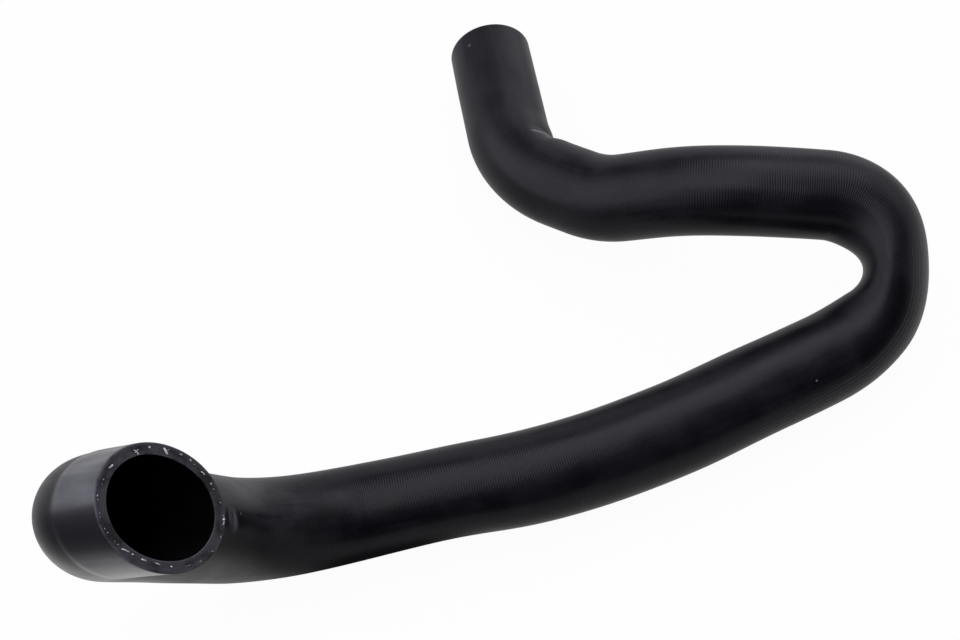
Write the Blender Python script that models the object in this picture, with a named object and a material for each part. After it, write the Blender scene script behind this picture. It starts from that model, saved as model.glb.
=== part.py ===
"""Moulded turbo hose: one reinforced rubber tube, bent on a mandrel and pressed flat in its return bend.

It lies on a table as it comes to rest: on its long bow and its far end, with the near end standing up.
"""

import math
from collections import namedtuple

import bmesh
import bpy
from mathutils import Matrix, Vector

# The tube
BORE = 0.050
WALL = 0.005
SIDES = 28

# Corners of the route, where its straight runs would meet, and the radius that rounds each of them
NEAR_MOUTH = Vector((-0.183, -0.240, 0.258))
HOOK = Vector((-0.226, -0.225, 0.218))
HOOK_RADIUS = 0.038
FOOT = Vector((-0.1718, -0.1417, 0.031))
FOOT_RADIUS = 0.0904
LONG_BOW = Vector((0.0348, -0.0915, 0.030))
LONG_BOW_RADIUS = 0.612
LIFT = Vector((0.2031, -0.0044, 0.033))
LIFT_RADIUS = 0.1166
RETURN_BEND = Vector((0.3058, 0.0766, 0.083))
RETURN_BEND_RADIUS = 0.050
BACK_SWEEP = Vector((0.1079, 0.0867, 0.086))
BACK_SWEEP_RADIUS = 0.1456
DIP = Vector((0.0435, 0.1048, 0.050))
DIP_RADIUS = 0.0745
FAR_ELBOW = Vector((-0.0144, 0.1451, 0.035))
FAR_ELBOW_RADIUS = 0.0835
FAR_MOUTH = Vector((-0.0327, 0.2638, 0.030))

# The near end: a straight smooth cuff, a little proud of the tube, out of round and cut at a slant
CUFF_LENGTH = 0.038
CUFF_STEP = 0.0006
CUFF_STEP_REACH = 0.003
OVAL_DEPTH = 0.0021
OVAL_REACH = 0.070
OVAL_TURN = math.radians(77)
SLANT = math.radians(7)
SLANT_TURN = math.radians(-58)

# The return bend is pressed flat, and the flat section leans over the inside of the bend. Its flattest
# place lies before the middle of the arc, and the tube grows round again faster after it than before it
PRESSED_BEND = 4
FLAT_THICKNESS = 0.0407
FLAT_REACH_BEFORE = 0.0428
FLAT_REACH_AFTER = 0.0333
FLAT_SHIFT = -0.0187
FLAT_LEAN = math.radians(-25.5)

# A long shallow dent on the front and underside, before the long bow
DENT_DEPTH = 0.0037
DENT_REACH = 0.054
DENT_FROM_MOUTH = 0.358
DENT_SLOPE = math.radians(34.4)
DENT_SIDE = Vector((0, -math.cos(DENT_SLOPE), -math.sin(DENT_SLOPE)))

# The crease that the mandrel left on the inner side of the far elbow
CREASED_BEND = 7
CREASE_DEPTH = 0.0045
CREASE_REACH = 0.009
CREASE_SHARE = 0.35

# How far apart the sections of the loft lie
RUN_STEP = 0.020
BEND_STEP = math.radians(10)
CREASE_STEP = math.radians(4)

SHARP_ANGLE = math.radians(50)
RUBBER_COLOUR = (0.018, 0.018, 0.022, 1)
RUBBER_ROUGHNESS = 0.45

OUTER_RADIUS = BORE / 2 + WALL

Station = namedtuple("Station", "point along side run")
Bend = namedtuple("Bend", "start turn_axis angle radius step")


def remove_everything():
    for thing in list(bpy.data.objects):
        bpy.data.objects.remove(thing, do_unlink=True)


def bend_at(before, corner, after, radius, step):
    """The arc that rounds one corner of the route."""
    incoming = (corner - before).normalized()
    outgoing = (after - corner).normalized()
    angle = incoming.angle(outgoing)
    start = corner - incoming * radius * math.tan(angle / 2)
    return Bend(start, incoming.cross(outgoing).normalized(), angle, radius, step)


def route_bends():
    corners = [NEAR_MOUTH, HOOK, FOOT, LONG_BOW, LIFT, RETURN_BEND, BACK_SWEEP, DIP, FAR_ELBOW, FAR_MOUTH]
    radii = [HOOK_RADIUS, FOOT_RADIUS, LONG_BOW_RADIUS, LIFT_RADIUS, RETURN_BEND_RADIUS,
             BACK_SWEEP_RADIUS, DIP_RADIUS, FAR_ELBOW_RADIUS]
    steps = [CREASE_STEP if i == CREASED_BEND else BEND_STEP for i in range(len(radii))]
    return [bend_at(*corners[i:i + 3], radii[i], steps[i]) for i in range(len(radii))]


def turned_vector(vector, axis, angle):
    return Matrix.Rotation(angle, 3, axis) @ vector


def walk_run(stations, end):
    """Adds stations along a straight run, up to its end."""
    last = stations[-1]
    length = (end - last.point).length
    count = max(1, math.ceil(length / RUN_STEP))
    for i in range(1, count + 1):
        part = length * i / count
        stations.append(Station(last.point + last.along * part, last.along, last.side, last.run + part))


def walk_bend(stations, bend):
    """Adds stations round an arc. The side direction turns with the hose, so that the tube isn't twisted."""
    last = stations[-1]
    inward = bend.turn_axis.cross(last.along)
    centre = last.point + inward * bend.radius
    count = max(2, math.ceil(bend.angle / bend.step), math.ceil(bend.angle * bend.radius / RUN_STEP))
    for i in range(1, count + 1):
        angle = bend.angle * i / count
        point = centre - turned_vector(inward, bend.turn_axis, angle) * bend.radius
        along = turned_vector(last.along, bend.turn_axis, angle)
        side = turned_vector(last.side, bend.turn_axis, angle)
        stations.append(Station(point, along, side, last.run + angle * bend.radius))


def walk_route(bends):
    """The stations from the near mouth to the far one, and the length at which each bend starts."""
    along = (HOOK - NEAR_MOUTH).normalized()
    side = Vector((0, 0, 1)).cross(along).normalized()
    stations = [Station(NEAR_MOUTH, along, side, 0)]
    starts = []
    for bend in bends:
        walk_run(stations, bend.start)
        starts.append(stations[-1].run)
        walk_bend(stations, bend)
    walk_run(stations, FAR_MOUTH)
    return stations, starts


def bell(distance, reach):
    return math.exp(-((distance / reach) ** 2))


def radial(station, turn):
    """The direction from the centreline to the skin at an angle round the section."""
    return station.side * math.cos(turn) + station.along.cross(station.side) * math.sin(turn)


class Form:
    """How far the skin lies from the centreline, with everything that makes the tube's section change."""

    def __init__(self, bends, starts):
        self.pressed = bends[PRESSED_BEND]
        self.flat_run = starts[PRESSED_BEND] + self.pressed.angle * self.pressed.radius / 2 + FLAT_SHIFT
        self.creased = bends[CREASED_BEND]
        self.crease_run = starts[CREASED_BEND] + self.creased.angle * self.creased.radius * CREASE_SHARE

    def pressed_flat(self, station, ray, inset):
        """An ellipse across the return bend. Its girth stays about the same as the round tube's."""
        reach = FLAT_REACH_BEFORE if station.run < self.flat_run else FLAT_REACH_AFTER
        squeeze = bell(station.run - self.flat_run, reach)
        thin = OUTER_RADIUS - (OUTER_RADIUS - FLAT_THICKNESS / 2) * squeeze
        wide = math.sqrt(2 * OUTER_RADIUS ** 2 - thin ** 2)
        level = self.pressed.turn_axis.cross(station.along).normalized()
        across = turned_vector(level, station.along, FLAT_LEAN)
        upright = station.along.cross(across)
        return across * ray.dot(across) * (thin - inset) + upright * ray.dot(upright) * (wide - inset)

    def oval(self, station, turn):
        return OVAL_DEPTH * math.cos(2 * (turn - OVAL_TURN)) * bell(station.run, OVAL_REACH)

    def cuff(self, station):
        return CUFF_STEP / (1 + math.exp((station.run - CUFF_LENGTH) / CUFF_STEP_REACH))

    def dent(self, station, ray):
        facing = max(0, ray.dot(DENT_SIDE)) ** 2
        return DENT_DEPTH * bell(station.run - DENT_FROM_MOUTH, DENT_REACH) * facing

    def crease(self, station, ray):
        inner_side = self.creased.turn_axis.cross(station.along).normalized()
        facing = max(0, ray.dot(inner_side)) ** 2
        return CREASE_DEPTH * bell(station.run - self.crease_run, CREASE_REACH) * facing

    def skin(self, station, turn, inset):
        """A point of the outer skin, or of the bore where inset is the wall."""
        ray = radial(station, turn)
        sunk = self.dent(station, ray) + self.crease(station, ray)
        proud = self.oval(station, turn) + (0 if inset else self.cuff(station))
        return self.pressed_flat(station, ray, inset) + ray * (proud - sunk)


def slide_to_slant(station, offset):
    """Moves a point of the first section along the cuff, onto the plane of the slanted cut."""
    lean = radial(station, SLANT_TURN)
    normal = station.along * math.cos(SLANT) + lean * math.sin(SLANT)
    return offset - station.along * (offset.dot(normal) / station.along.dot(normal))


def loft_skin(mesh, stations, form, inset):
    """One skin of the tube as rings of vertices, joined by quads that face outwards or into the bore."""
    rings = []
    for number, station in enumerate(stations):
        ring = []
        for i in range(SIDES):
            offset = form.skin(station, math.tau * i / SIDES, inset)
            if number == 0:
                offset = slide_to_slant(station, offset)
            ring.append(mesh.verts.new(station.point + offset))
        rings.append(ring)
    for first, second in zip(rings, rings[1:]):
        join_rings(mesh, first, second, flip=bool(inset))
    return rings


def join_rings(mesh, first, second, flip):
    for i in range(SIDES):
        j = (i + 1) % SIDES
        corners = [first[i], first[j], second[j], second[i]]
        mesh.faces.new(corners[::-1] if flip else corners)


def stand_on_origin(mesh):
    """Puts the middle of the underside of the hose's box at the origin."""
    spots = [vertex.co for vertex in mesh.verts]
    low = Vector([min(spot[axis] for spot in spots) for axis in range(3)])
    high = Vector([max(spot[axis] for spot in spots) for axis in range(3)])
    middle = (low + high) / 2
    bmesh.ops.translate(mesh, verts=mesh.verts, vec=(-middle.x, -middle.y, -low.z))


def rubber_material():
    material = bpy.data.materials.new("rubber")
    material.use_nodes = True
    surface = material.node_tree.nodes["Principled BSDF"]
    surface.inputs["Base Color"].default_value = RUBBER_COLOUR
    surface.inputs["Roughness"].default_value = RUBBER_ROUGHNESS
    surface.inputs["Metallic"].default_value = 0
    return material


def make_hose(collection):
    bends = route_bends()
    stations, starts = walk_route(bends)
    form = Form(bends, starts)
    mesh = bmesh.new()
    outside = loft_skin(mesh, stations, form, 0)
    inside = loft_skin(mesh, stations, form, WALL)
    join_rings(mesh, outside[0], inside[0], flip=True)
    join_rings(mesh, outside[-1], inside[-1], flip=False)
    stand_on_origin(mesh)
    data = bpy.data.meshes.new("hose")
    mesh.to_mesh(data)
    mesh.free()
    data.shade_smooth()
    data.set_sharp_from_angle(angle=SHARP_ANGLE)
    data.materials.append(rubber_material())
    hose = bpy.data.objects.new("hose", data)
    collection.objects.link(hose)
    return hose


def main():
    remove_everything()
    collection = bpy.data.collections.new("turbo_hose")
    bpy.context.scene.collection.children.link(collection)
    make_hose(collection)


main()
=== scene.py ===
import math
import random

import bpy
import numpy as np
from mathutils import Matrix, Vector


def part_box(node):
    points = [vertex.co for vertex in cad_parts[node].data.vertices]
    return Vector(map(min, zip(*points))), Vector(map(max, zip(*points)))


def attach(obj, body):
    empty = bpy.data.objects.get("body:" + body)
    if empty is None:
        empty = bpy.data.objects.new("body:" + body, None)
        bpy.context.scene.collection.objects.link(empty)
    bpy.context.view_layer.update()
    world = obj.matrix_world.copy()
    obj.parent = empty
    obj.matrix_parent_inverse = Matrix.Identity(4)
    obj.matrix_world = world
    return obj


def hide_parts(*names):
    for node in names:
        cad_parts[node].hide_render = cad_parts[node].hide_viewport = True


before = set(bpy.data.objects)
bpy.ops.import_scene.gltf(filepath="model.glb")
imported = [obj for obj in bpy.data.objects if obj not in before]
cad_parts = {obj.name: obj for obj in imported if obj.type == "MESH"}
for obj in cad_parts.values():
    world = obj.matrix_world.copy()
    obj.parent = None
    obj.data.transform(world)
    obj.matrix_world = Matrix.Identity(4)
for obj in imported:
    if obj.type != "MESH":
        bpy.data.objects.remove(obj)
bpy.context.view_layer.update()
print("frame loaded")

# All lengths are in metres unless a note says otherwise.

cameraSettings = {
    "place": (-0.05722, -0.5317, 0.83096),
    "tilt": (34.401, -0.858, -0.001),  # degrees round X, Y and Z
    "lens": 54.455,
    "sensor": 36,
}

floorSettings = {
    "size": 8.0,
    "paper": (0.85, 0.85, 0.85, 1),
    "roughness": 0.9,
    "ownWhite": 0.96,  # the share of the white that no shadow touches
    "inReflections": 0.42,  # how much of that share a reflection sees
    # painted shade and painted light on the floor, seen by reflections and in the light it throws back: where
    # a reflection sees more or less of it: x, y, reach and change
    "paintedShadeAndLightPatches": [
        (-0.75, -0.42, 0.44, -0.36),
        (-0.112, -0.135, 0.085, -0.40),
        (-0.31, -0.22, 0.10, 0.5),
    ],
    "patchCore": 0.3,  # the share of a patch's reach that has the full change
    "paintedShadeInFront": (0.45, 1.1),  # painted shade: in front of the hose reflections lose it between these distances
    "underLight": 0.48,  # how pale the floor is for all light but the camera's, next to what reflections see
}

roomSettings = {
    "dark": 0.02,  # the front of the room
    # its pale sides: the direction of each, where it starts and is full, and how bright it is
    "sides": {
        "above": ((0, 0, 1), 0.5, 0.95, 0.25),
        "left": ((-0.9, -0.25, 0.35), 0.5, 0.95, 1.8),
        "right": ((0.8, 0.55, 0), 0.6, 0.9, 0.65),
        "rearRight": ((0.45, 0.5, 0.72), 0.82, 1.0, 1.0),
        "behind": ((0, 1, 0), 0.7, 0.95, 0.75),
    },
    "tint": (0.91, 0.908, 1.0),
    "lampPlace": (0.07, 0.3, 1.6),
    "lampTurn": -16,  # degrees round Z
    "lampSize": (1.05, 2.6),
    "lampWatts": 16,
}


class Signal:
    # one output socket, so that shader maths reads as plain Python
    def __init__(self, bench, socket):
        self.bench = bench
        self.socket = socket

    def __add__(self, other):
        return self.bench.maths("ADD", self, other)

    def __radd__(self, other):
        return self.bench.maths("ADD", other, self)

    def __sub__(self, other):
        return self.bench.maths("SUBTRACT", self, other)

    def __rsub__(self, other):
        return self.bench.maths("SUBTRACT", other, self)

    def __mul__(self, other):
        return self.bench.maths("MULTIPLY", self, other)

    def __rmul__(self, other):
        return self.bench.maths("MULTIPLY", other, self)


class Bench:
    # a node tree and what adds nodes to it
    def __init__(self, tree):
        self.tree = tree

    def node(self, kind, settings=None, values=None, out=0):
        made = self.tree.nodes.new(kind)
        for name, value in (settings or {}).items():
            setattr(made, name, value)
        for name, value in (values or {}).items():
            self.feed(made.inputs[name], value)
        if isinstance(out, tuple):
            return [Signal(self, made.outputs[name]) for name in out]
        return Signal(self, made.outputs[out])

    def feed(self, socket, value):
        if isinstance(value, Signal):
            self.tree.links.new(value.socket, socket)
        else:
            socket.default_value = value

    def maths(self, operation, first, second=0.0):
        return self.node("ShaderNodeMath", {"operation": operation}, {0: first, 1: second})

    def rise(self, value, low, high):
        # 0 below low, 1 above high and a smooth rise between them
        values = {"Value": value, "From Min": low, "From Max": high}
        return self.node("ShaderNodeMapRange", {"interpolation_type": "SMOOTHSTEP"}, values)

    def noise(self, space, scale, detail):
        return self.node("ShaderNodeTexNoise", None, {"Vector": space, "Scale": scale, "Detail": detail})

    def blend(self, share, first, second):
        # 0, 6, 7 and 2 are the sockets for a share, two colours and their mix
        return self.node("ShaderNodeMix", {"data_type": "RGBA"}, {0: share, 6: first, 7: second}, out=2)


def newFinish(name):
    finish = bpy.data.materials.new(name)
    finish.use_nodes = True
    bench = Bench(finish.node_tree)
    return finish, bench, finish.node_tree.nodes["Principled BSDF"].inputs


def placeCamera():
    lensData = bpy.data.cameras.new("camera")
    lensData.lens = cameraSettings["lens"]
    lensData.sensor_width = cameraSettings["sensor"]
    camera = bpy.data.objects.new("camera", lensData)
    camera.location = cameraSettings["place"]
    camera.rotation_euler = [math.radians(turn) for turn in cameraSettings["tilt"]]
    bpy.context.scene.collection.objects.link(camera)
    bpy.context.scene.camera = camera


placeCamera()
print("camera placed")


def layFloor():
    half = floorSettings["size"] / 2
    corners = [(-half, -half, 0), (half, -half, 0), (half, half, 0), (-half, half, 0)]
    mesh = bpy.data.meshes.new("floor")
    mesh.from_pydata(corners, [], [(0, 1, 2, 3)])
    floor = bpy.data.objects.new("floor", mesh)
    bpy.context.scene.collection.objects.link(floor)
    finish, bench, shader = newFinish("paleFloor")
    shader["Roughness"].default_value = floorSettings["roughness"]
    shader["Specular IOR Level"].default_value = 0.0
    white = bench.node("ShaderNodeEmission", None, {"Color": (1, 1, 1, 1), "Strength": 1.0})

    # the camera and a clear material see the white in full, a reflection sees less, light on the object none
    rays = ("Is Camera Ray", "Is Glossy Ray", "Is Transmission Ray")
    direct, glossy, clear = bench.node("ShaderNodeLightPath", out=rays)
    seen = bench.maths("MAXIMUM", direct, clear)
    place = bench.node("ShaderNodeNewGeometry")
    x, y = bench.node("ShaderNodeSeparateXYZ", None, {"Vector": place}, out=("X", "Y"))
    reflected = floorSettings["inReflections"]
    # painted shade and painted light: patches where the floor is darker or paler to reflections and in its
    # bounced light
    for patchX, patchY, reach, change in floorSettings["paintedShadeAndLightPatches"]:
        away = (x - patchX) * (x - patchX) + (y - patchY) * (y - patchY)
        outside = bench.rise(away, (reach * floorSettings["patchCore"]) ** 2, reach ** 2)
        reflected = (1 - outside) * change + reflected
    reflected = reflected * (1 - bench.rise(y * -1, *floorSettings["paintedShadeInFront"]))
    share = bench.maths("MAXIMUM", seen, glossy * reflected) * floorSettings["ownWhite"]
    colour = bench.blend(seen, reflected * floorSettings["underLight"], floorSettings["paper"])
    bench.feed(shader["Base Color"], colour)
    lit = Signal(bench, finish.node_tree.nodes["Principled BSDF"].outputs[0])
    mixed = bench.node("ShaderNodeMixShader", None, {0: share, 1: lit, 2: white})
    bench.feed(finish.node_tree.nodes["Material Output"].inputs["Surface"], mixed)
    mesh.materials.append(finish)


def lightRoom():
    room = bpy.data.worlds.new("room")
    room.use_nodes = True
    bpy.context.scene.world = room
    bench = Bench(room.node_tree)
    direction = bench.node("ShaderNodeTexCoord", out="Generated")
    x, y, z = bench.node("ShaderNodeSeparateXYZ", None, {"Vector": direction}, out=("X", "Y", "Z"))
    level = roomSettings["dark"]
    for (east, north, up), start, full, bright in roomSettings["sides"].values():
        level = bench.rise(x * east + y * north + z * up, start, full) * bright + level
    tint = (*roomSettings["tint"], 1)
    softLight = bench.node("ShaderNodeBackground", None, {"Color": tint, "Strength": level})
    white = bench.node("ShaderNodeBackground", None, {"Color": (1, 1, 1, 1), "Strength": 1.0})
    direct = bench.node("ShaderNodeLightPath", out="Is Camera Ray")
    mixed = bench.node("ShaderNodeMixShader", None, {0: direct, 1: softLight, 2: white})
    bench.feed(room.node_tree.nodes["World Output"].inputs["Surface"], mixed)

    lamp = bpy.data.lights.new("softbox", "AREA")
    lamp.shape = "RECTANGLE"
    lamp.size, lamp.size_y = roomSettings["lampSize"]
    lamp.energy = roomSettings["lampWatts"]
    lamp.color = roomSettings["tint"]
    softbox = bpy.data.objects.new("softbox", lamp)
    softbox.location = roomSettings["lampPlace"]
    softbox.rotation_euler = (0, 0, math.radians(roomSettings["lampTurn"]))
    bpy.context.scene.collection.objects.link(softbox)
    bpy.context.scene.view_settings.view_transform = "Standard"


layFloor()
lightRoom()
print("floor laid and room lit")

# The route of the hose: the corners where its straight runs would meet, and the radius that rounds each
hoseRoute = {
    "nearMouth": (-0.183, -0.240, 0.258),
    "corners": [
        ((-0.226, -0.225, 0.218), 0.038),
        ((-0.1718, -0.1417, 0.031), 0.0904),
        ((0.0348, -0.0915, 0.030), 0.612),
        ((0.2031, -0.0044, 0.033), 0.107),
        ((0.3058, 0.0766, 0.083), 0.050),
        ((0.1079, 0.0867, 0.086), 0.1456),
        ((0.0435, 0.1048, 0.050), 0.0745),
        ((-0.0144, 0.1451, 0.035), 0.0835),
    ],
    "farMouth": (-0.0327, 0.2638, 0.030),
    "shift": (-0.00487, -0.00025),  # from the route's own origin to the frame's
}

hoseShape = {
    "radius": 0.030,
    "wall": 0.005,
    "sides": 128,
    "ringStep": 0.0024,
    "fineStep": 0.0008,
    "fineAtCuff": 0.005,  # the fine steps reach this far to both sides
    "fineAtCrease": 0.012,
    "boreStep": 0.009,
    "cutStep": 0.0004,
    "lipOutside": 0.0006,
    "lipInside": 0.0004,
    "lipAngles": (15, 30, 45, 60, 75),
    "slant": 7,  # degrees
    "slantTurn": -58,
    "slantReach": 0.0195,
    "cuffLength": 0.038,
    "cuffStep": 0.0006,
    "cuffStepReach": 0.0012,
    "ovalDepth": 0.0021,
    "ovalReach": 0.070,
    "ovalTurn": 77,
    "flatBend": 4,  # the number of the bend that is pressed flat
    "flatThickness": 0.0407,
    "flatReachBefore": 0.0428,
    "flatReachAfter": 0.0333,
    "flatShift": -0.0187,
    "flatLean": -25.5,
    "dentRun": 0.358,
    "dentDepth": 0.0037,
    "dentReach": 0.054,
    "dentSlope": 34.4,
    "creaseBend": 7,
    "creaseShare": 0.35,  # how far round that bend the crease lies
    "creaseDepth": 0.0045,
    "creaseReachBefore": 0.008,
    "creaseReachAfter": 0.017,
    "foldDepth": 0.0032,  # the sharp line at the bottom of the crease
    "foldReachBefore": 0.0022,
    "foldReachAfter": 0.006,
    "foldLean": 0.0175,  # how far the line runs along the hose, across its radius
    "waviness": 0.0001,
    # times round, turn for each metre, start and share
    "waves": ((2, 41, 0, 1), (3, -67, 1.3, 1), (1, 93, 2.1, 0.7)),
    "cutRoughness": 0.00006,
    "knifeMarks": ((9, 7, 1), (23, -5, 0), (41, 0, 3)),  # times round, turn across the wall, share of phase
    "plyGroove": 0.00015,
    "plyGrooveWidth": 0.16,  # as a share of the wall
    "plyGrooveChange": 0.6,
}


def traceRoute():
    # straight runs and arcs in turn, each with the length of hose before it
    corners = [Vector(corner) for corner, _ in hoseRoute["corners"]]
    points = [Vector(hoseRoute["nearMouth"]), *corners, Vector(hoseRoute["farMouth"])]
    place, run = points[0], 0.0
    side = Vector((0, 0, 1)).cross((points[1] - points[0]).normalized()).normalized()
    parts = []
    for number, (_, radius) in enumerate(hoseRoute["corners"]):
        before, corner, after = points[number:number + 3]
        along, onward = (corner - before).normalized(), (after - corner).normalized()
        angle = along.angle(onward)
        bendStart = corner - along * radius * math.tan(angle / 2)
        parts.append({"run": run, "place": place, "along": along, "side": side, "radius": None})
        run += (bendStart - place).length
        axis = along.cross(onward).normalized()
        parts.append({"run": run, "place": bendStart, "along": along, "side": side, "radius": radius,
                      "axis": axis, "length": angle * radius})
        run += angle * radius
        inward = axis.cross(along)
        turn = Matrix.Rotation(angle, 3, axis)
        place = bendStart + (inward - turn @ inward) * radius
        side = turn @ side
    along = (points[-1] - points[-2]).normalized()
    parts.append({"run": run, "place": place, "along": along, "side": side, "radius": None})
    return parts, run + (points[-1] - place).length


routeParts, routeLength = traceRoute()
routeBends = [part for part in routeParts if part["radius"]]
flatBend = routeBends[hoseShape["flatBend"]]
creaseBend = routeBends[hoseShape["creaseBend"]]
flatRun = flatBend["run"] + flatBend["length"] / 2 + hoseShape["flatShift"]
creaseRun = creaseBend["run"] + creaseBend["length"] * hoseShape["creaseShare"]
turns = np.arange(hoseShape["sides"]) * math.tau / hoseShape["sides"]


def placeOnRoute(run):
    part = [part for part in routeParts if part["run"] <= run][-1]
    past = run - part["run"]
    if part["radius"] is None:
        return part["place"] + part["along"] * past, part["along"], part["side"]
    turn = Matrix.Rotation(past / part["radius"], 3, part["axis"])
    inward = part["axis"].cross(part["along"])
    place = part["place"] + (inward - turn @ inward) * part["radius"]
    return place, turn @ part["along"], turn @ part["side"]


def bell(distance, reach):
    return math.exp(-((distance / reach) ** 2))


def unit(vector):
    return vector / np.linalg.norm(vector)


def hoseRing(run, inset, lift):
    # one ring of points at a depth below the outer skin; lift moves it along the hose
    shape = hoseShape
    place, along, side = (np.array(vector) for vector in placeOnRoute(run))
    upright = np.cross(along, side)
    rays = np.outer(np.cos(turns), side) + np.outer(np.sin(turns), upright)

    # the ellipse of the return bend
    squeeze = bell(run - flatRun, shape["flatReachBefore"] if run < flatRun else shape["flatReachAfter"])
    thin = shape["radius"] - (shape["radius"] - shape["flatThickness"] / 2) * squeeze
    wide = math.sqrt(2 * shape["radius"] ** 2 - thin ** 2)
    level = unit(np.cross(np.array(flatBend["axis"]), along))
    flatLean = math.radians(shape["flatLean"])
    across = level * math.cos(flatLean) + np.cross(along, level) * math.sin(flatLean)
    upwards = np.cross(along, across)
    offset = np.outer(rays @ across, across) * (thin - inset)
    offset += np.outer(rays @ upwards, upwards) * (wide - inset)

    # the oval mouth, the proud cuff and the slight waviness of a hand-made hose
    ovalTurn = math.radians(shape["ovalTurn"])
    proud = shape["ovalDepth"] * np.cos(2 * (turns - ovalTurn)) * bell(run, shape["ovalReach"])
    pastCuff = (run - shape["cuffLength"]) / shape["cuffStepReach"]
    onCuff = 1 / (1 + math.exp(min(60, pastCuff)))  # the limit keeps exp within its range
    proud += shape["cuffStep"] * onCuff * (1 - inset / shape["wall"])
    for timesRound, perMetre, start, share in shape["waves"]:
        proud += shape["waviness"] * share * np.sin(timesRound * turns + perMetre * run + start)

    # the dent, the crease and the fold line at its bottom
    dentSlope = math.radians(shape["dentSlope"])
    dentSide = np.array((0, -math.cos(dentSlope), -math.sin(dentSlope)))
    dented = bell(run - shape["dentRun"], shape["dentReach"]) * np.maximum(0, rays @ dentSide) ** 2
    proud -= shape["dentDepth"] * dented
    innerSide = unit(np.cross(np.array(creaseBend["axis"]), along))
    towards = np.maximum(0, rays @ innerSide)
    limb = "Before" if run < creaseRun else "After"
    proud -= shape["creaseDepth"] * bell(run - creaseRun, shape["creaseReach" + limb]) * towards ** 2
    fromFold = run - creaseRun + shape["foldLean"] * (rays @ np.cross(along, innerSide))
    foldReach = np.where(fromFold < 0, shape["foldReachBefore"], shape["foldReachAfter"])
    proud -= shape["foldDepth"] * np.exp(-np.abs(fromFold) / foldReach) * towards ** 3
    offset += rays * proud[:, None]

    if run < shape["slantReach"]:  # the cuff's rings lean over to the slanted cut
        slant, slantTurn = math.radians(shape["slant"]), math.radians(shape["slantTurn"])
        lean = side * math.cos(slantTurn) + upright * math.sin(slantTurn)
        normal = along * math.cos(slant) + lean * math.sin(slant)
        slide = (offset @ normal) / (along @ normal) * (1 - run / shape["slantReach"])
        offset -= np.outer(slide, along)
    return place + offset + np.outer(np.broadcast_to(lift, turns.shape), along)


def cutUnevenness(inset, phase):
    # the knife's marks on a cut end, and the shallow groove along the plies in the middle of the wall
    share = (inset - hoseShape["wall"] / 2) / hoseShape["wall"]
    marks = sum(np.sin(timesRound * turns + acrossWall * share + phaseShare * phase)
                for timesRound, acrossWall, phaseShare in hoseShape["knifeMarks"])
    depth = 1 + hoseShape["plyGrooveChange"] * np.sin(13 * turns + phase) * np.sin(5 * turns)
    groove = depth * bell(share, hoseShape["plyGrooveWidth"])
    return hoseShape["cutRoughness"] * marks - hoseShape["plyGroove"] * groove


def stepsBetween(start, end, step):
    return list(np.linspace(start, end, max(2, round(abs(end - start) / step) + 1)))


def outsideRuns():
    # finer at the cuff's edge and at the crease
    shape = hoseShape
    marks = [shape["lipOutside"],
             shape["cuffLength"] - shape["fineAtCuff"], shape["cuffLength"] + shape["fineAtCuff"],
             creaseRun - shape["fineAtCrease"], creaseRun + shape["fineAtCrease"],
             routeLength - shape["lipOutside"]]
    steps = [shape["ringStep"], shape["fineStep"], shape["ringStep"], shape["fineStep"], shape["ringStep"]]
    runs = []
    for start, end, step in zip(marks, marks[1:], steps):
        runs += stepsBetween(start, end, step)[:-1]
    return runs + [marks[-1]]


def cutRings(end, sign):
    # from the outer skin over the lip, across the cut and over the inner lip; sign is 1 at the near mouth
    rings = []
    outer, inner, wall = hoseShape["lipOutside"], hoseShape["lipInside"], hoseShape["wall"]
    for angle in hoseShape["lipAngles"]:
        bow = math.radians(angle)
        rings.append((end + sign * outer * (1 - math.sin(bow)), outer * (1 - math.cos(bow)), 0.0))
    for inset in stepsBetween(outer, wall - inner, hoseShape["cutStep"]):
        rings.append((end, inset, -sign * cutUnevenness(inset, 1.7 + sign)))
    for angle in reversed(hoseShape["lipAngles"]):
        bow = math.radians(angle)
        rings.append((end + sign * inner * (1 - math.sin(bow)), wall - inner * (1 - math.cos(bow)), 0.0))
    return rings


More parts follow.
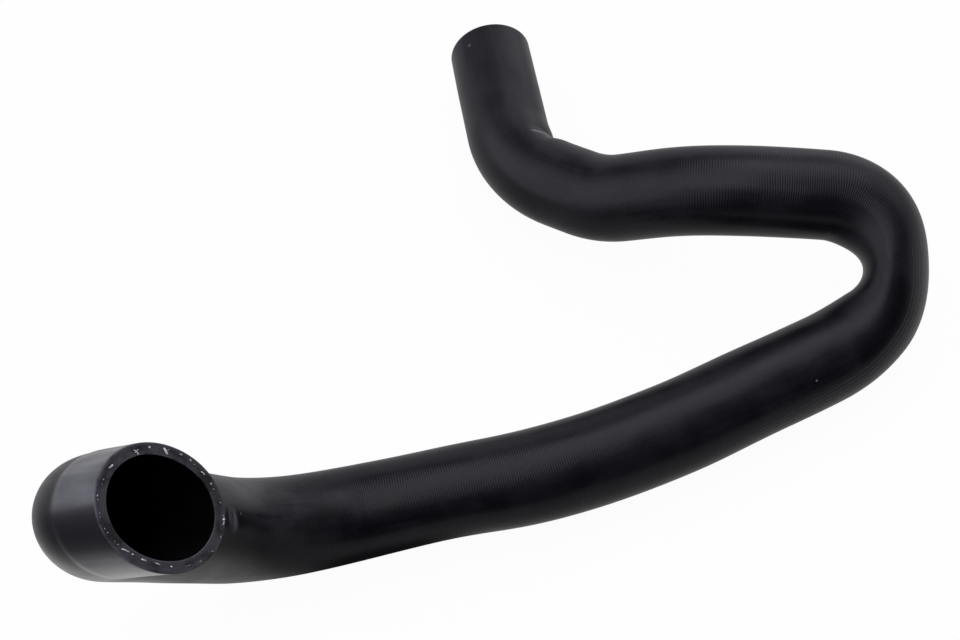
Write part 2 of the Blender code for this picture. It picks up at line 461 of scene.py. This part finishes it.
def makeHoseSkin():
    # one closed skin: the outside, the far cut, the bore and the near cut
    shape = hoseShape
    outside = [(run, 0.0, 0.0) for run in outsideRuns()]
    farCut = cutRings(routeLength, -1)
    bore = [(run, shape["wall"], 0.0)
            for run in stepsBetween(routeLength - shape["lipInside"], shape["lipInside"], shape["boreStep"])]
    nearCut = cutRings(0.0, 1)[::-1]
    rings = outside + farCut + bore + nearCut
    points = np.array([hoseRing(*ring) for ring in rings])
    shift = np.array([*hoseRoute["shift"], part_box("hose")[0][2] - points[..., 2].min()])
    points += shift

    count, sides = len(rings), shape["sides"]
    first = np.arange(count)[:, None] * sides + np.arange(sides)
    following = (first + 1) % sides + first // sides * sides
    faces = np.stack([first, following, np.roll(following, -1, 0), np.roll(first, -1, 0)], 2)
    mesh = bpy.data.meshes.new("hoseSkin")
    mesh.from_pydata(points.reshape(-1, 3).tolist(), [], faces.reshape(-1, 4).tolist())

    # 0 for the outside, 1 for a cut and 2 for the bore, for the strip that follows each ring
    boreStart = len(outside) + len(farCut)
    boreEnd = boreStart + len(bore)
    kinds = np.zeros(count, int)
    kinds[len(outside) - 1:boreStart] = 1
    kinds[boreStart:boreEnd - 1] = 2
    kinds[boreEnd - 1:] = 1
    mesh.polygons.foreach_set("material_index", np.repeat(kinds, sides).astype(np.int32))

    # the map runs round the hose in u, and in v along it, or on a cut down from the outer skin
    runs, insets = np.array([ring[0] for ring in rings]), np.array([ring[1] for ring in rings])
    isCut = kinds == 1
    startV = np.where(isCut, insets, runs)
    endV = np.where(isCut, np.roll(insets, -1), np.roll(runs, -1))
    u = np.arange(sides) / sides
    layout = np.empty((count, sides, 4, 2))
    layout[..., 0] = np.stack([u, u + 1 / sides, u + 1 / sides, u], 1)
    layout[:, :, :2, 1] = startV[:, None, None]
    layout[:, :, 2:, 1] = endV[:, None, None]
    mesh.uv_layers.new(name="hoseMap").data.foreach_set("uv", layout.ravel())
    mesh.shade_smooth()

    hose = bpy.data.objects.new("hoseSkin", mesh)
    bpy.context.scene.collection.objects.link(hose)
    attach(hose, "root")
    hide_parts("hose")
    return hose, Vector(shift)


hose, routeShift = makeHoseSkin()
print("hose skin made:", len(hose.data.polygons) * 2, "triangles")

rubberLook = {
    "dark": (0.0045, 0.0045, 0.0062, 1),
    "light": (0.0085, 0.0085, 0.0115, 1),
    "cuff": (0.009, 0.009, 0.012, 1),
    "paintedHighlightColour": (0.075, 0.077, 0.092, 1),
    "shine": 0.2,
    "roughness": 0.30,
    "roughnessChange": 0.12,
    "cuffRoughness": 0.32,
    "markRoughness": 0.25,
    "cuffCoat": 1.0,
    "coatRoughness": 0.2,
    # scale and detail of each noise
    "clouds": (38.0, 5.0),
    "grain": (900.0, 3.0),
    "streaks": (330.0, 3.0),
    "bands": (70.0, 2.0),
    "strokes": (110.0, 3.0),
    "wobble": (60.0, 2.0),
    "lengthwise": 0.05,  # how much streaks and bands are drawn out along the hose
    "crosswise": 7.0,  # and strokes round it
    "bodyRange": (0.38, 0.64),  # where in its noise the body turns from dark to light
    "hazeRange": (0.3, 0.6),
    "cuffRange": (0.42, 0.58),
    "strokeRange": (0.40, 0.64),
    "cuffEdge": 0.003,  # half the length of the cuff's soft edge
    "cuffEdgeWobble": 0.006,
    # the bands on the cuff, in degrees round it: the painted highlight on top, and the weaker painted sheen
    # beyond the painted dark band
    "paintedHighlightStart": (48, 66),
    "paintedHighlightEnd": (112, 140),
    "paintedSheenStart": (280, 340),
    "paintedSheenEnd": (8, 24),
    "paintedSheenShare": 0.5,
    "bandWobble": 24,
    "cuffLeast": 0.55,  # the share of the bands' paleness that the noise leaves everywhere
    # the rings set in after the cuff and fade by a share past the crease
    "ringsStart": (0.11, 0.16),
    "ringsFade": (-0.06, 0.03),
    "ringsLoss": 0.75,
    "ringWobble": 9.0,
    "ringRange": (0.3, 0.7),  # where in the clouds their height rises
    "ringLeast": 0.45,
    "ringMore": 0.75,
    "ridgePitch": 0.0015,
    "ridgeHeight": 0.000044,
    "grainHeight": 0.000010,
    "streakHeight": 0.000025,
    "markHeight": 0.00004,
}

# Marks on the rubber: run along the hose in metres, turn in degrees, then half the length and width in metres
rubberMarks = {
    "scuff": (0.156, 234, 0.0085, 0.0085),
    "paintedFoldHighlight": (-0.0036, 316, 0.0027, 0.0125),  # a painted highlight just below the fold; its run is counted from the crease
    "paintedFoldHighlightLean": 0.11,  # metres for a full turn
    "paintedFoldHighlightTurn": 333,  # where the lean leaves its run as it is
    "specks": [(0.609, 252, 0.0009, 0.0007), (1.119, 243, 0.0008, 0.0010), (0.166, 228, 0.0010, 0.0006)],
    "darkPatch": (1.081, 301, 0.0110, 0.0055),
    "cuffMark": (0.011, 350, 0.0016, 0.0026),
    "footHaze": (0.215, 212, 0.055, 0.017),
    "farHaze": (-0.03, 0.04),  # the lengths between which it sets in, counted from the crease
    "edge": (0.45, 1.15),  # where a mark fades out, as the square of a share of its half size
    # how much a noise shifts the edge of each
    "ragged": {
        "footHaze": 1.5,
        "darkPatch": 3.0,
        "cuffMark": 1.5,
        "scuff": 2.0,
        "paintedFoldHighlight": 2.0,
        "speck": 1.5,
    },
    # how strong each is
    "footHazeShare": 0.6,
    "farHazeShare": 0.22,
    "darkPatchShare": 0.6,
    "blackShare": 0.8,
    "scuffLeast": 0.12,
    "scuffMore": 0.6,
    "paleShare": 0.75,
    "haze": (0.034, 0.035, 0.039, 1),
    "pale": (0.17, 0.175, 0.19, 1),
    "black": (0.003, 0.003, 0.004, 1),
}

# Thin lines that the mould left along the outer side of the return bend: raised in the bumps, with a painted
# highlight in their colour
mouldLines = {
    "run": 0.578,
    "turn": 280,
    "lean": 173,  # degrees for each metre of hose
    "offsets": (0, 6, 12, 20),
    "start": 0.545,
    "end": 0.735,
    "fade": 0.02,
    "halfWidth": 0.9,  # degrees
    "height": 0.00022,
    "share": 0.5,
}


def skinSpace(bench, radius, stretch=1.0):
    # where a point would be on a straight hose, squeezed along it by stretch; also u and v of the map
    place = bench.node("ShaderNodeUVMap", {"uv_map": "hoseMap"})
    u, v = bench.node("ShaderNodeSeparateXYZ", None, {"Vector": place}, out=("X", "Y"))
    angle = u * math.tau
    x = bench.maths("COSINE", angle) * radius
    y = bench.maths("SINE", angle) * radius
    return bench.node("ShaderNodeCombineXYZ", None, {"X": x, "Y": y, "Z": v * stretch}), u, v


def patchOn(bench, u, v, oval, ragged):
    # 1 inside an oval mark and 0 outside it; ragged shifts its edge
    run, turn, halfLength, halfWidth = oval
    aside = (u - turn / 360) * (math.tau * hoseShape["radius"] / halfWidth)
    ahead = (v - run) * (1 / halfLength)
    return 1 - bench.rise(aside * aside + ahead * ahead + ragged, *rubberMarks["edge"])


def mouldLineMask(bench, u, v):
    place = u * 360 + (v - mouldLines["run"]) * mouldLines["lean"] - mouldLines["turn"]
    lines = 0
    for offset in mouldLines["offsets"]:
        away = bench.maths("ABSOLUTE", place - offset)
        lines = 1 - bench.rise(away, 0, mouldLines["halfWidth"]) + lines
    starts = bench.rise(v, mouldLines["start"], mouldLines["start"] + mouldLines["fade"])
    ends = 1 - bench.rise(v, mouldLines["end"] - mouldLines["fade"], mouldLines["end"])
    return lines * starts * ends


def rubberFinish():
    look, marks = rubberLook, rubberMarks
    finish, bench, shader = newFinish("mouldedRubber")
    space, u, v = skinSpace(bench, hoseShape["radius"])
    lengthwise = skinSpace(bench, hoseShape["radius"], look["lengthwise"])[0]
    crosswise = skinSpace(bench, hoseShape["radius"], look["crosswise"])[0]

    clouds = bench.noise(space, *look["clouds"])
    grain = bench.noise(space, *look["grain"])
    streaks = bench.noise(lengthwise, *look["streaks"])
    bands = bench.noise(lengthwise, *look["bands"])
    strokes = bench.noise(crosswise, *look["strokes"])
    wobble = bench.noise(space, *look["wobble"])
    cuffEnd = v - hoseShape["cuffLength"] + (wobble - 0.5) * look["cuffEdgeWobble"]
    onCuff = 1 - bench.rise(cuffEnd, -look["cuffEdge"], look["cuffEdge"])
    lines = mouldLineMask(bench, u, v)
    pastCrease = bench.rise(v, *(creaseRun + past for past in look["ringsFade"]))
    onRings = bench.rise(v, *look["ringsStart"]) * (1 - pastCrease * look["ringsLoss"])

    def mark(name, oval, noise, along=v):
        return patchOn(bench, u, along, oval, (noise - 0.5) * marks["ragged"][name])

    body = bench.rise(clouds * 0.7 + streaks * 0.3, *look["bodyRange"])
    body = bench.blend(body, look["dark"], look["light"])

    # a grey bloom lies beside the near mouth and on the far limb
    mottled = bench.rise(clouds * 0.5 + streaks * 0.5, *look["hazeRange"])
    footHaze = mark("footHaze", marks["footHaze"], clouds) * mottled
    farHaze = bench.rise(v, *(creaseRun + past for past in marks["farHaze"]))
    haze = bench.maths("MAXIMUM", footHaze * marks["footHazeShare"], farHaze * marks["farHazeShare"])
    body = bench.blend(haze, body, marks["haze"])

    # painted light on the cuff: a painted highlight on top, a painted dark band below it and a weaker painted
    # sheen beyond that
    turn = u * 360 + (bands - 0.5) * look["bandWobble"]
    paintedCuffLight = bench.rise(turn, *look["paintedHighlightStart"]) * (1 - bench.rise(turn, *look["paintedHighlightEnd"]))
    paintedCuffLight = paintedCuffLight + (1 - bench.rise(turn, *look["paintedSheenEnd"])) * look["paintedSheenShare"]
    paintedCuffLight = paintedCuffLight + bench.rise(turn, *look["paintedSheenStart"]) * look["paintedSheenShare"]
    cuffLightNoise = bench.rise(bands * 0.4 + streaks * 0.3 + clouds * 0.3, *look["cuffRange"])
    paintedCuffLightShare = paintedCuffLight * (look["cuffLeast"] + cuffLightNoise * (1 - look["cuffLeast"]))
    cuff = bench.blend(paintedCuffLightShare, look["cuff"], look["paintedHighlightColour"])
    # the mould lines' pale colour is a painted highlight, as is the cuff's
    colour = bench.blend(onCuff, bench.blend(lines * mouldLines["share"], body, look["paintedHighlightColour"]), cuff)

    darkPatch = mark("darkPatch", marks["darkPatch"], wobble) * marks["darkPatchShare"]
    darkMarks = bench.maths("MAXIMUM", darkPatch, mark("cuffMark", marks["cuffMark"], grain))
    colour = bench.blend(darkMarks * marks["blackShare"], colour, marks["black"])

    # pale marks: the chalk-like scuff and specks, and a painted highlight in the fold
    chalk = bench.rise(strokes, *look["strokeRange"]) * marks["scuffMore"] + marks["scuffLeast"]
    scuff = mark("scuff", marks["scuff"], wobble) * chalk
    foldRun, *foldRest = marks["paintedFoldHighlight"]
    foldV = v + (u - marks["paintedFoldHighlightTurn"] / 360) * marks["paintedFoldHighlightLean"]
    foldHighlight = mark("paintedFoldHighlight", (creaseRun + foldRun, *foldRest), clouds, foldV)
    paleMarks = bench.maths("MAXIMUM", scuff, foldHighlight)
    for speck in marks["specks"]:
        paleMarks = bench.maths("MAXIMUM", paleMarks, mark("speck", speck, grain))
    colour = bench.blend(paleMarks * marks["paleShare"], colour, marks["pale"])
    bench.feed(shader["Base Color"], colour)

    change = look["roughnessChange"]
    rough = look["roughness"] + (clouds - 0.5) * change + (streaks - 0.5) * change
    rough = rough + onCuff * (look["cuffRoughness"] - look["roughness"]) + paleMarks * look["markRoughness"]
    bench.feed(shader["Roughness"], rough)
    shader["Specular IOR Level"].default_value = look["shine"]
    bench.feed(shader["Coat Weight"], onCuff * look["cuffCoat"] * paintedCuffLightShare)
    shader["Coat Roughness"].default_value = look["coatRoughness"]

    ridges = bench.maths("SINE", v * (math.tau / look["ridgePitch"]) + wobble * look["ringWobble"])
    ringLevel = look["ringLeast"] + bench.rise(clouds, *look["ringRange"]) * look["ringMore"]
    height = (
        ridges * look["ridgeHeight"] * (1 - onCuff) * ringLevel * onRings
        + grain * look["grainHeight"]
        + streaks * look["streakHeight"]
        + lines * mouldLines["height"]
        + paleMarks * look["markHeight"]
    )
    bump = bench.node("ShaderNodeBump", None, {"Height": height, "Strength": 1.0, "Distance": 1.0})
    bench.feed(shader["Normal"], bump)
    return finish


cutLook = {
    "dark": (0.009, 0.009, 0.011, 1),
    "light": (0.040, 0.040, 0.045, 1),
    "edge": (0.085, 0.085, 0.095, 1),
    "shine": 0.25,
    "roughness": 0.62,
    "roughnessChange": 0.2,
    "clouds": (110.0, 4.0),  # scale and detail
    "grain": (1500.0, 3.0),
    "faceRange": (0.36, 0.56),  # where in its noise the cut turns from dark to light
    "edgeRange": (0.3, 0.6),
    "ply": (0.0004, 0.0016),  # the dark line of the plies fades between these distances
    "plyDark": 0.05,
    "outerEdge": (0.4, 1.3),  # where the pale edges lie, as shares of the lip's radius
    "innerEdge": (1.5, 0.5),
    "innerShare": 0.7,
    "edgeShare": 0.8,
    "markHeight": 0.00012,
}


def cutFinish():
    look = cutLook
    wall, lipOutside, lipInside = hoseShape["wall"], hoseShape["lipOutside"], hoseShape["lipInside"]
    finish, bench, shader = newFinish("cutRubber")
    space, _, v = skinSpace(bench, hoseShape["radius"])
    clouds = bench.noise(space, *look["clouds"])
    grain = bench.noise(space, *look["grain"])
    inPly = 1 - bench.rise(bench.maths("ABSOLUTE", v - wall / 2), *look["ply"])
    shade = clouds * 0.7 + grain * 0.3 - inPly * look["plyDark"]
    face = bench.blend(bench.rise(shade, *look["faceRange"]), look["dark"], look["light"])
    atOuter = 1 - bench.rise(v, *(lipOutside * share for share in look["outerEdge"]))
    atInner = bench.rise(v, *(wall - lipInside * share for share in look["innerEdge"]))
    edges = bench.maths("MAXIMUM", atOuter, atInner * look["innerShare"])
    edges = edges * bench.rise(clouds, *look["edgeRange"]) * look["edgeShare"]
    bench.feed(shader["Base Color"], bench.blend(edges, face, look["edge"]))
    bench.feed(shader["Roughness"], look["roughness"] + (clouds - 0.5) * look["roughnessChange"])
    shader["Specular IOR Level"].default_value = look["shine"]
    height = (clouds + grain * 0.5) * look["markHeight"]
    bump = bench.node("ShaderNodeBump", None, {"Height": height, "Strength": 1.0, "Distance": 1.0})
    bench.feed(shader["Normal"], bump)
    return finish


# The bore's colour is far darker than the rubber outside: painted shade inside the hose
boreLook = {
    "dark": (0.0008, 0.0008, 0.001, 1),
    "light": (0.002, 0.002, 0.0024, 1),
    "shine": 0.03,
    "roughness": 0.8,
    "roughnessChange": 0.15,
    "clouds": (60.0, 4.0),  # scale and detail
    "range": (0.35, 0.65),  # where in its noise the bore turns from dark to light
    "height": 0.0001,
}


def boreFinish():
    look = boreLook
    finish, bench, shader = newFinish("boreRubber")
    space = skinSpace(bench, hoseShape["radius"] - hoseShape["wall"])[0]
    clouds = bench.noise(space, *look["clouds"])
    colour = bench.blend(bench.rise(clouds, *look["range"]), look["dark"], look["light"])
    bench.feed(shader["Base Color"], colour)
    bench.feed(shader["Roughness"], look["roughness"] + (clouds - 0.5) * look["roughnessChange"])
    shader["Specular IOR Level"].default_value = look["shine"]
    height = clouds * look["height"]
    bump = bench.node("ShaderNodeBump", None, {"Height": height, "Strength": 1.0, "Distance": 1.0})
    bench.feed(shader["Normal"], bump)
    return finish


for finish in (rubberFinish(), cutFinish(), boreFinish()):
    hose.data.materials.append(finish)
print("rubber finishes made")

# Ends of the textile plies on the near cut: where each starts and ends, as a turn in degrees and
# a distance from the middle in millimetres, and how wide it is in millimetres
yarnEnds = {
    "near": [
        (122, 28.0, 126, 25.2, 0.3), (127, 27.4, 122, 26.6, 0.3), (124, 26.4, 124, 25.0, 0.3),
        (138, 27.0, 140, 26.9, 1.1), (154, 26.8, 159, 24.0, 1.2), (159, 26.4, 160, 26.4, 0.6),
        (172, 26.4, 175, 26.6, 0.7), (184, 26.9, 186, 26.6, 0.8), (190, 26.5, 191, 26.5, 0.6),
        (200, 26.9, 205, 27.5, 0.7), (214, 28.1, 216, 28.1, 0.8), (220, 28.3, 221, 28.4, 0.8),
        (233, 30.2, 234, 30.2, 0.8), (247, 31.2, 248, 32.2, 1.3), (244, 31.2, 245, 31.4, 0.6),
        (249, 31.8, 252, 31.5, 0.5), (262, 31.6, 263, 31.8, 0.6), (277, 30.7, 277, 31.1, 0.6),
        (292, 29.3, 291, 29.5, 0.5), (307, 27.5, 306, 27.6, 0.5), (304, 27.9, 303, 27.8, 0.4),
        (323, 25.7, 321, 26.0, 0.6), (340, 24.6, 334, 25.0, 0.5), (356, 25.2, 350, 24.9, 0.7),
        (18, 27.4, 10, 25.9, 0.6), (7, 25.8, 5, 25.6, 0.5), (23, 27.7, 22, 27.5, 0.5),
        (27, 28.1, 26, 28.0, 0.5), (36, 29.3, 36, 29.2, 0.6), (40, 29.8, 40, 29.7, 0.4),
        (50, 30.5, 50, 30.4, 0.4), (53, 30.5, 53, 30.3, 0.4), (67, 31.4, 67, 30.9, 1.0),
        (64, 30.9, 63, 30.7, 0.6), (77, 30.2, 77, 29.9, 0.4), (81, 30.1, 81, 29.7, 0.5),
        (92, 29.9, 97, 29.2, 0.8),
    ],
    "filamentPitch": 0.17,  # millimetres
    "filamentRadius": 0.00011,
    "filamentSides": 5,
    "tipShare": 0.45,  # how wide a filament is at its ends
    "lyingLength": 0.0008,  # from this length on a yarn lies on the cut
    "lyingSteps": 5,
    "lyingLift": 0.00008,
    "lyingArch": 0.00035,
    "sway": 0.00008,
    "stubLength": 0.0006,
    "stubSpread": 0.0002,
    "stubRoot": 0.0002,  # how deep it starts below the cut
    "colour": (0.74, 0.74, 0.75, 1),
    "greyColour": (0.42, 0.42, 0.44, 1),
    "roughness": 0.8,
    "noise": (900.0, 2.0),  # scale and detail
    "range": (0.35, 0.6),
}


def sweepFilament(points, vertices, faces):
    # a thin closed tube through the points
    radius, sides = yarnEnds["filamentRadius"], yarnEnds["filamentSides"]
    start = len(vertices)
    for number, point in enumerate(points):
        along = (points[min(number + 1, len(points) - 1)] - points[max(number - 1, 0)]).normalized()
        across = along.orthogonal().normalized()
        upright = along.cross(across)
        shrink = yarnEnds["tipShare"] if number in (0, len(points) - 1) else 1.0
        for corner in range(sides):
            turn = math.tau * corner / sides
            ray = across * math.cos(turn) + upright * math.sin(turn)
            vertices.append(point + ray * radius * shrink)
    for number in range(len(points) - 1):
        for corner in range(sides):
            lower, upper = start + number * sides, start + (number + 1) * sides
            following = (corner + 1) % sides
            faces.append((lower + corner, lower + following, upper + following, upper + corner))
    faces.append(tuple(start + corner for corner in reversed(range(sides))))
    faces.append(tuple(start + (len(points) - 1) * sides + corner for corner in range(sides)))


def makeYarnEnds():
    chance = random.Random(11)
    mouth, along, side = placeOnRoute(0.0)
    upright = along.cross(side)
    slant, slantTurn = math.radians(hoseShape["slant"]), math.radians(hoseShape["slantTurn"])
    slantSide = side * math.cos(slantTurn) + upright * math.sin(slantTurn)
    normal = along * math.cos(slant) + slantSide * math.sin(slant)

    def spot(turn, distance):
        # a point on the near cut, from degrees and millimetres
        turn = math.radians(turn)
        flat = (side * math.cos(turn) + upright * math.sin(turn)) * (distance / 1000)
        return mouth + routeShift + flat - along * (flat.dot(normal) / along.dot(normal))

    vertices, faces = [], []
    for startTurn, startFar, endTurn, endFar, width in yarnEnds["near"]:
        start, end = spot(startTurn, startFar), spot(endTurn, endFar)
        stroke = end - start
        across = stroke.cross(normal).normalized() if stroke.length > 1e-5 else side
        count = max(2, round(width / yarnEnds["filamentPitch"]))
        for number in range(count):
            aside = across * ((number + 0.5) / count - 0.5) * width / 1000 * chance.uniform(0.7, 1.0)
            if stroke.length > yarnEnds["lyingLength"]:  # yarn that lies on the cut
                points = []
                for step in range(yarnEnds["lyingSteps"] + 1):
                    share = step / yarnEnds["lyingSteps"]
                    arch = yarnEnds["lyingArch"] * math.sin(math.pi * share) * chance.uniform(0.5, 1.0)
                    sway = across * chance.uniform(-yarnEnds["sway"], yarnEnds["sway"])
                    lift = normal * (yarnEnds["lyingLift"] + arch)
                    points.append(start + stroke * share + aside + sway - lift)
            else:  # a stub that stands up out of it
                foot = start + stroke * (number / count) + aside
                tip = -normal * yarnEnds["stubLength"] * chance.uniform(0.5, 1.0)
                lean = across * chance.uniform(-1, 1) + stroke.normalized() * chance.uniform(-1, 1)
                tip += lean * yarnEnds["stubSpread"]
                points = [foot + normal * yarnEnds["stubRoot"], foot + tip * 0.5, foot + tip]
            sweepFilament(points, vertices, faces)
    mesh = bpy.data.meshes.new("yarnEnds")
    mesh.from_pydata([tuple(vertex) for vertex in vertices], [], faces)
    mesh.shade_smooth()
    finish, bench, shader = newFinish("textileYarn")
    place = bench.node("ShaderNodeTexCoord", out="Object")
    shade = bench.rise(bench.noise(place, *yarnEnds["noise"]), *yarnEnds["range"])
    bench.feed(shader["Base Color"], bench.blend(shade, yarnEnds["greyColour"], yarnEnds["colour"]))
    shader["Roughness"].default_value = yarnEnds["roughness"]
    mesh.materials.append(finish)
    yarn = bpy.data.objects.new("yarnEnds", mesh)
    bpy.context.scene.collection.objects.link(yarn)
    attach(yarn, "root")
    return yarn


yarn = makeYarnEnds()
print("yarn ends made:", len(yarn.data.polygons), "faces")
